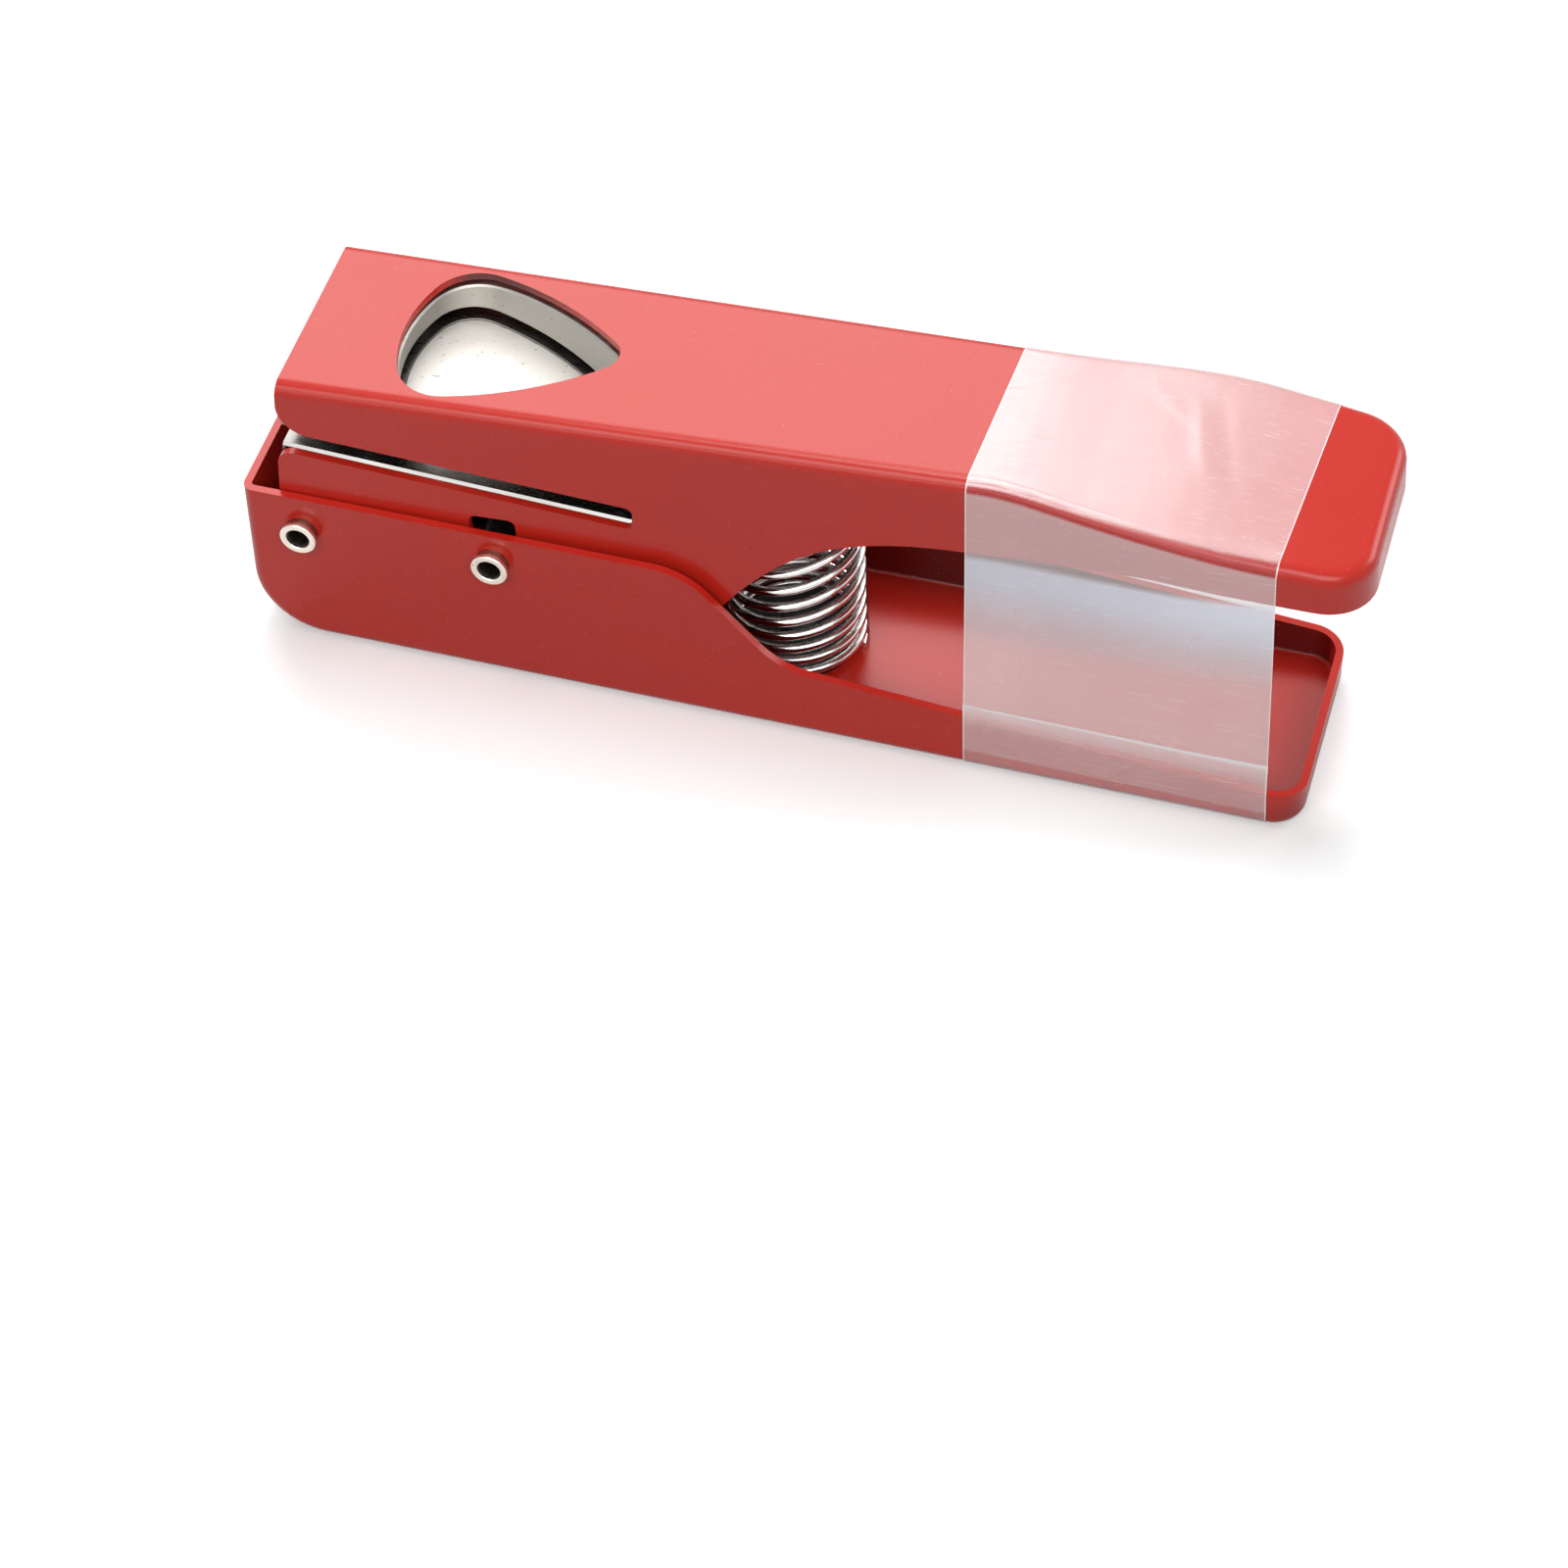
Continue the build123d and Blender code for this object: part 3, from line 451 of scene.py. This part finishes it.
def clear_film():
    """Thin milky film: white cut edges, fine scratches along the tool; painted light where it hangs free
    (whiter and bluish) and over the hollow, painted glare along its top, and painted shade along the near
    bend and on the far side.
    """
    material, tree = finish_tree("clear_film")
    along, across, up = tree.axes()
    over, round_it = tree.strip()
    nearward = -across
    below_edge = handle_edge_height(along) - up
    scratches = tree.noise(130.0, stretch=(1, 28, 28)).ramp(0.6, 0.7)
    haze = tree.noise(55.0, 3.0)

    # Parts of the strip
    near = nearward.ramp(*FILM_SIDE)
    roof = nearward.fall(*FILM_SIDE)
    # Painted light: below the handle's edge on the near side the film is made whiter, bluer and more
    # metallic, for the back light shining through it
    painted_glow_below_edge = below_edge.ramp(*FILM_OFF_HANDLE) * below_edge.fall(*FILM_PAINTED_GLOW_FADES) * near
    low = near * up.fall(*FILM_ON_TRAY)
    # Painted light: over the hollow between the tray's rim and the handle the film is made a little whiter
    # and more metallic
    hollow_painted_light = below_edge.ramp(*FILM_OVER_HOLLOW) * near * (1.0 - low)
    # Painted shade: on the far side, under the handle, the film is made clearer and its cut edges dimmer
    far_side_painted_shade = across.ramp(*FILM_SIDE) * up.fall(*FILM_FAR_WALL)
    upward = tree.facing()[2]
    # Painted shade: along the handle's near bend the film gets a dark red tone and less cover, for the
    # shade where it stands off the bend
    bend = upward.ramp(0.1, 0.3) * (upward - over * 0.28).fall(0.56, 0.7)
    bend = bend * nearward.ramp(*FILM_BEND_SIDE) * up.ramp(*FILM_BEND_ABOVE)
    sides = over.fall(0.002, 0.007).most(over.ramp(0.993, 0.998))
    cut = sides.most(round_it.fall(0.0006, 0.0014)) * (1.0 - far_side_painted_shade * 0.9)

    # How much the film hides, and its tone
    # Painted glare: the film's top is whiter towards the rear, and clearer at the nose end where the glare
    # fades
    painted_glare = roof * over.fall(0.25, 0.9)
    nose_end_less_glare = roof * over.ramp(0.6, 1.0)
    cover = 0.46 + haze * 0.1 + painted_glow_below_edge * (0.18 + over * 0.2) + painted_glare * 0.06
    cover = cover + scratches * (0.06 + over * 0.1) - low * 0.22 - far_side_painted_shade * 0.3
    cover = cover + hollow_painted_light * 0.05 - nose_end_less_glare * 0.09
    cover = cover * (1.0 - bend * 0.35)
    seen = 1.0 - tree.ray("Is Shadow Ray") * 0.75
    # Painted light: bluish white where the film hangs free below the handle
    tone = tree.mix(painted_glow_below_edge, colour(0.97, 0.92, 0.92), colour(0.87, 0.89, 1.0))
    # Painted shade along the near bend, in a dark red tone
    tone = tree.mix(bend * 0.9, tone, colour(0.2, 0.04, 0.04))
    tree.skin({
        "Base Color": tree.mix(cut, tone, WHITE),
        "Roughness": haze.ramp(0.3, 0.7, 0.2, 0.3),
        # Painted light: more metallic sheen over the hollow and below the handle's edge
        "Metallic": 0.16 + hollow_painted_light * 0.16 + painted_glow_below_edge * 0.16,
        "IOR": 1.5,
        "Alpha": cover.most(cut * 0.95) * seen,
        "Normal": tree.bump(haze + scratches * 0.3, 0.3 * MM, 0.3),
    })
    return material


FINISHES = {name: steel(name, *grade) for name, grade in GRADES.items()}
FINISHES["red_paint"] = red_paint()
FINISHES["spring_chrome"] = spring_chrome()
FINISHES["seat_plastic"] = seat_plastic()
FINISHES["clear_film"] = clear_film()


def dress_frame():
    """Gives every CAD node the finish of its slot, or its own grade of that steel."""
    for entry in frame["record"]["subparts"]:
        node = frame["nodes"][entry["node"]]
        node.data.materials.clear()
        node.data.materials.append(FINISHES[OWN_GRADES.get(entry["node"], entry["material_slot"])])


def camera():
    """The photograph's view, turned round the tool, tipped down and rolled a little, in plain colours."""
    azimuth = radians(CAMERA_AZIMUTH)
    elevation = radians(CAMERA_ELEVATION)
    roll = radians(CAMERA_ROLL)
    forward = Vector((-sin(azimuth) * cos(elevation), cos(azimuth) * cos(elevation), -sin(elevation)))
    level = Vector((cos(azimuth), sin(azimuth), 0))
    down = forward.cross(level)
    right = level * cos(roll) + down * sin(roll)
    low = down * cos(roll) - level * sin(roll)
    turn = Matrix((right, -low, -forward)).transposed()
    lens = bpy.data.cameras.new("camera")
    lens.sensor_width = SENSOR
    lens.lens = SENSOR * LENS_PIXELS / IMAGE_PIXELS
    lens.clip_start = CAMERA_CLIP
    viewer = new_object("camera", lens)
    viewer.matrix_world = Matrix.Translation(CAMERA_TARGET - forward * CAMERA_DISTANCE) @ turn.to_4x4()
    bpy.context.scene.camera = viewer
    bpy.context.scene.view_settings.view_transform = "Standard"


def lamp(name, toward, distance, size, radiance):
    """Soft box that faces the tool from a direction, as bright as its radiance says."""
    light = bpy.data.lights.new(name, "AREA")
    light.shape = "RECTANGLE"
    light.size = size[0]
    light.size_y = size[1]
    light.energy = radiance * pi * size[0] * size[1]
    box = new_object(name, light)
    box.location = Vector(toward).normalized() * distance
    box.rotation_euler = Vector(toward).to_track_quat("Z", "Y").to_euler()
    box.visible_diffuse = name != GLOSS_ONLY_BOX


def lights():
    """Soft boxes all round, the low front one seen only in gloss, and a white world."""
    for name, box in BOXES.items():
        lamp(name, *box)
    world = bpy.data.worlds.new("studio")
    bpy.context.scene.world = world
    world.use_nodes = True
    tree = Tree(world.node_tree)
    level = tree.ray("Is Camera Ray").most(tree.mirrored() * WORLD_IN_GLOSS).most(WORLD_LIGHT)
    light = tree.add("ShaderNodeBackground", {}, {"Color": WHITE, "Strength": level})
    tree.add("ShaderNodeOutputWorld", {}, {"Surface": light})


def white_floor():
    """Floor that glows where the camera sees it, and less along the tool's near side, which paints a
    shadow there.
    """
    material, tree = finish_tree("floor_white")
    along, across = tree.axes()[:2]
    nearward = -across
    seen = tree.ray("Is Camera Ray")
    tint = tree.mix(seen, tree.mix(tree.mirrored(), grey(0.2), grey(0.95)), colour(0.93, 0.95, 0.95))
    # Painted shadow: the glow drops along the tool's near side, most just at its edge
    away = nearward.ramp(*SHADOW_FADE_BEFORE).most(nearward.fall(*SHADOW_FADE_UNDER))
    away = away.most(along.size().ramp(*SHADOW_FADE_ENDS))
    paper = tree.add("ShaderNodeBsdfDiffuse", {}, {"Color": tint})
    strength = seen * (away * FLOOR_GLOW_PAST_SHADOW + FLOOR_GLOW)
    glow = tree.add("ShaderNodeEmission", {}, {"Color": WHITE, "Strength": strength})
    tree.surface(tree.add("ShaderNodeAddShader", {}, {0: paper, 1: glow}))
    corners = [(-1, -1), (1, -1), (1, 1), (-1, 1)]
    points = [(x * FLOOR_HALF, y * FLOOR_HALF, 0) for x, y in corners]
    floor = mesh_object("floor", points, [(0, 1, 2, 3)], material)


def coil_group(rise, slope):
    """Geometry Nodes that wind the coil: closer at both ends, sloped at its top, bowed in the middle."""
    group = bpy.data.node_groups.new("coil", "GeometryNodeTree")
    for name, value in (
        ("Turns", SPRING_TURNS),
        ("Radius", SPRING_RADIUS),
        ("Wire", SPRING_WIRE / 2),
        ("Rise", rise),
        ("Closing", SPRING_END_SHARE),
        ("Lean", SPRING_LEAN_SHARE),
        ("Seat slope", slope),
        ("Bow", SPRING_BOW),
    ):
        item = group.interface.new_socket(name, in_out="INPUT", socket_type="NodeSocketFloat")
        item.default_value = value
    group.interface.new_socket("Coil", in_out="OUTPUT", socket_type="NodeSocketGeometry")
    tree = Tree(group)
    given = tree.add("NodeGroupInput").socket.node
    inputs = {socket.name: Value(tree, socket) for socket in given.outputs if socket.name}
    line = tree.add("GeometryNodeCurvePrimitiveLine", {}, {"End": (0, 0, 1)})
    count = SPRING_TURNS * SPRING_STEPS + 1
    points = tree.add("GeometryNodeResampleCurve", {}, {"Curve": line, "Count": count})
    share = tree.add("GeometryNodeSplineParameter")
    turn = share * inputs["Turns"] * (2 * pi)
    swing = (share * (2 * pi)).maths("SINE") / (2 * pi)
    arch = (share * pi).maths("SINE")
    lean = share * inputs["Seat slope"] + arch * inputs["Lean"]
    forward = inputs["Radius"] * turn.maths("COSINE")
    sideways = inputs["Radius"] * turn.maths("SINE")
    height = inputs["Rise"] * (share - inputs["Closing"] * swing) + forward * lean
    bowed = forward - arch * inputs["Bow"]
    place = tree.add("ShaderNodeCombineXYZ", {}, {0: bowed, 1: sideways, 2: height})
    wound = tree.add("GeometryNodeSetPosition", {}, {"Geometry": points, "Position": place})
    section = {"Resolution": SPRING_SIDES, "Radius": inputs["Wire"]}
    ring = tree.add("GeometryNodeCurvePrimitiveCircle", {}, section)
    swept = {"Curve": wound, "Profile Curve": ring, "Fill Caps": True}
    tube = tree.add("GeometryNodeCurveToMesh", {}, swept)
    smooth = tree.add("GeometryNodeSetShadeSmooth", {}, {"Geometry": tube})
    dressed = {"Geometry": smooth, "Material": FINISHES["spring_chrome"]}
    shown = tree.add("GeometryNodeSetMaterial", {}, dressed)
    real = tree.add("GeometryNodeRealizeInstances", {}, {"Geometry": shown})
    tree.add("NodeGroupOutput", {}, {0: real})
    return group


def spring():
    """The coil, made again as a smooth tube between its two seats."""
    low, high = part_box("return_spring")
    middle = Vector((high.x - SPRING_RADIUS - SPRING_WIRE / 2, 0, 0))
    slope = tan(radians(HANDLE_TILT))
    rise = high.z - low.z - SPRING_WIRE - SPRING_RADIUS * slope
    holder = new_object("coil_holder", bpy.data.meshes.new("coil_holder"))
    modifier = holder.modifiers.new("coil", "NODES")
    modifier.node_group = coil_group(rise, slope)
    bpy.context.view_layer.update()
    shape = bpy.data.meshes.new_from_object(holder.evaluated_get(bpy.context.evaluated_depsgraph_get()))
    bpy.data.objects.remove(holder)
    shape.transform(Matrix.Translation((middle.x, middle.y, low.z + SPRING_WIRE / 2)))
    coil = new_object("coil_spring", shape)
    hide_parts("return_spring")
    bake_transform(coil)


def climb(section, stand_off, foot):
    """The film's course up one side: round the foot, up the tray, to the handle's edge and over it."""
    half, top, wall, rim = section
    turns = [radians(angle) for angle in FOOT_TURNS]
    centre = (wall - FILM_FOOT_RADIUS, foot + FILM_FOOT_RADIUS + stand_off)
    round_foot = FILM_FOOT_RADIUS + stand_off
    points = [(centre[0] + round_foot * cos(turn), centre[1] + round_foot * sin(turn)) for turn in turns]
    side = wall + stand_off
    points += [(side, between(centre[1], rim, step / RIM_STEPS)) for step in range(1, RIM_STEPS + 1)]
    bend = HANDLE_EDGE_RADIUS + stand_off
    edge = (half - HANDLE_EDGE_RADIUS, top - HANDLE_EDGE_RADIUS)
    reach = hypot(side - edge[0], rim - edge[1])
    touch = atan2(rim - edge[1], side - edge[0]) + acos(bend / reach)
    leave = (edge[0] + bend * cos(touch), edge[1] + bend * sin(touch))
    for step in range(1, FREE_STEPS + 1):
        share = step / FREE_STEPS
        points.append((between(side, leave[0], share), between(rim, leave[1], share)))
    for step in range(1, BEND_STEPS + 1):
        turn = between(touch, pi / 2, step / BEND_STEPS)
        points.append((edge[0] + bend * cos(turn), edge[1] + bend * sin(turn)))
    return points


def strip_course(section):
    """Points across the tool, from the film's outer end round the foot and the handle to its inner end."""
    outside = climb(section, FILM_STAND_OFF + FILM_LAP_STEP, 0)
    last = len(FOOT_TURNS) + RIM_STEPS - 1
    (rim_y, rim_z), (above_y, above_z) = outside[last], outside[last + 1]
    end = (-between(rim_y, above_y, (LAP_TOP - rim_z) / (above_z - rim_z)), LAP_TOP)
    outer = [end] + [(-y, z) for y, z in reversed(outside[:last + 1])]
    far = climb(section, FILM_STAND_OFF, FILM_FOOT - FILM_STAND_OFF)
    over_y, over_z = far[-1]
    roof = [(over_y * (1 - step / HALF_ROOF_STEPS), over_z) for step in range(1, 2 * HALF_ROOF_STEPS)]
    near = [(-y, z) for y, z in reversed(far) if z > FILM_LAP_END]
    return outer + far + roof + near


def fold_lift(x, y):
    """How far the film's top lifts off at a place, along a few soft folds."""
    lift = 0
    for (far_x, far_y), (near_x, near_y), height in FOLDS:
        share = (far_y - y / MM) / (far_y - near_y)
        fade = exp(-((share - 0.5) / FOLD_REACH) ** 4)
        away = (x / MM - between(far_x, near_x, share)) / FOLD_WIDTH
        lift += height * MM * fade * exp(-away * away)
    return lift


def drawn_in(x):
    """The film's course at a place along, drawn in a little where it hangs free."""
    section = nose_section(x)
    top, rim = section[1], section[3]
    off_middle = min(1, abs(2 * (x - FILM_LOW.x) / (FILM_HIGH.x - FILM_LOW.x) - 1))
    most = FILM_SAG * between(SAG_IN_MIDDLE, 1, off_middle ** SAG_SHARPNESS)
    course = []
    for y, z in strip_course(section):
        free = max(0, min(1, (z - rim) / (top - HANDLE_EDGE_RADIUS - rim)))
        sag = most * sin(pi * free)
        lift = fold_lift(x, y) if z > top else 0
        course.append((y - sag if y > 0 else y + sag, z + lift))
    return course


def skew(y, z, share):
    """How far along the strip lies from square at a place on its course: it is wound a little askew."""
    nearness = max(0, min(1, 0.5 - y / (FILM_HIGH.y - FILM_LOW.y)))
    height = z / FILM_HIGH.z
    square_off = between(between(*FILM_SKEW_FAR, height), between(*FILM_SKEW_NEAR, height), nearness)
    return square_off * (SKEW_AT_REAR + SKEW_GROWTH * share)


def strip_points():
    """The strip's points, course by course, and the course in its middle."""
    start = FILM_LOW.x - FILM_SKEW_MOST
    pitch = (FILM_HIGH.x - FILM_LOW.x + 2 * FILM_SKEW_MOST) / FILM_STATIONS
    courses = [drawn_in(start + pitch * place) for place in range(FILM_STATIONS + 1)]
    course = courses[FILM_STATIONS // 2]
    points = []
    for station in range(FILM_STATIONS + 1):
        share = station / FILM_STATIONS
        for step, (y, z) in enumerate(course):
            x = between(FILM_LOW.x, FILM_HIGH.x, share) + skew(y, z, share)
            place = min(int((x - start) / pitch), FILM_STATIONS - 1)
            part = (x - start) / pitch - place
            before, after = courses[place][step], courses[place + 1][step]
            points.append((x, between(before[0], after[0], part), between(before[1], after[1], part)))
    return points, course


def film():
    """The film as one strip of thin sheet, lapped over itself on the near side."""
    low, high = FILM_LOW, FILM_HIGH
    points, course = strip_points()
    count = len(course)
    faces = []
    for station in range(FILM_STATIONS):
        for step in range(count - 1):
            corner = station * count + step
            faces.append((corner, corner + 1, corner + count + 1, corner + count))
    strip = mesh_object("film_strip", points, faces, FINISHES["clear_film"])
    layer = strip.data.uv_layers.new(name="strip")
    for loop in strip.data.loops:
        station, step = divmod(loop.vertex_index, count)
        layer.data[loop.index].uv = (station / FILM_STATIONS, step / (count - 1))
    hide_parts("film_band", "film_tail")
    middle = (low.x + high.x) / 2
    _, top, _, rim = nose_section(middle)
    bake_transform(strip)
    length = sum(hypot(y - last_y, z - last_z) for (last_y, last_z), (y, z) in zip(course, course[1:]))


dress_frame()
camera()
lights()
white_floor()
spring()
film()
